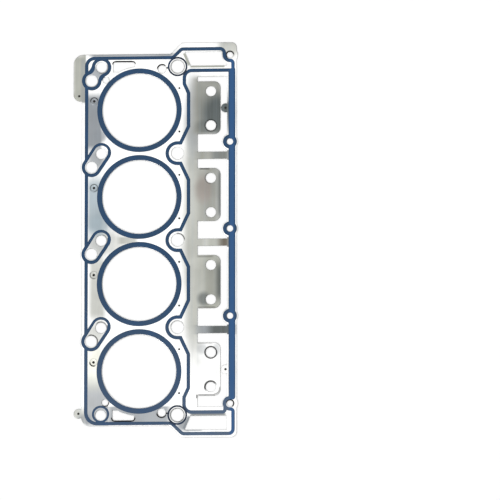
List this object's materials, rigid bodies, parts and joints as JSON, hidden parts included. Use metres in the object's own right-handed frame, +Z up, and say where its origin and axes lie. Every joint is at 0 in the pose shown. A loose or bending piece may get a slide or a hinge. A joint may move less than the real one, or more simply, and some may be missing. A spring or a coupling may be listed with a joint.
{
  "type": "cylinder head gasket",
  "caption": "Flat steel head gasket for an inline bank of cylinders, with round bores, bolt and coolant holes, a pushrod gallery with tabs, and raised blue sealing beads.",
  "frame": {"origin": "on the bore line halfway between the two middle bores, on the face that lies on the engine block", "axes": "+Y along the row of bores towards the end with the wide shoulder, +X from the coolant side to the pushrod gallery, +Z up out of the face that meets the cylinder head"},
  "size_m": [0.2199, 0.5298, 0.0018],
  "materials": {
    "sheet": "satin rolled stainless spring steel",
    "bead": "blue sealing elastomer printed on raised beads, low sheen"
  },
  "bodies": {
    "root": {"steel_sheet": "sheet", "head_outer_bead": "bead", "head_bore_beads": "bead"}
  },
  "joints": []
}
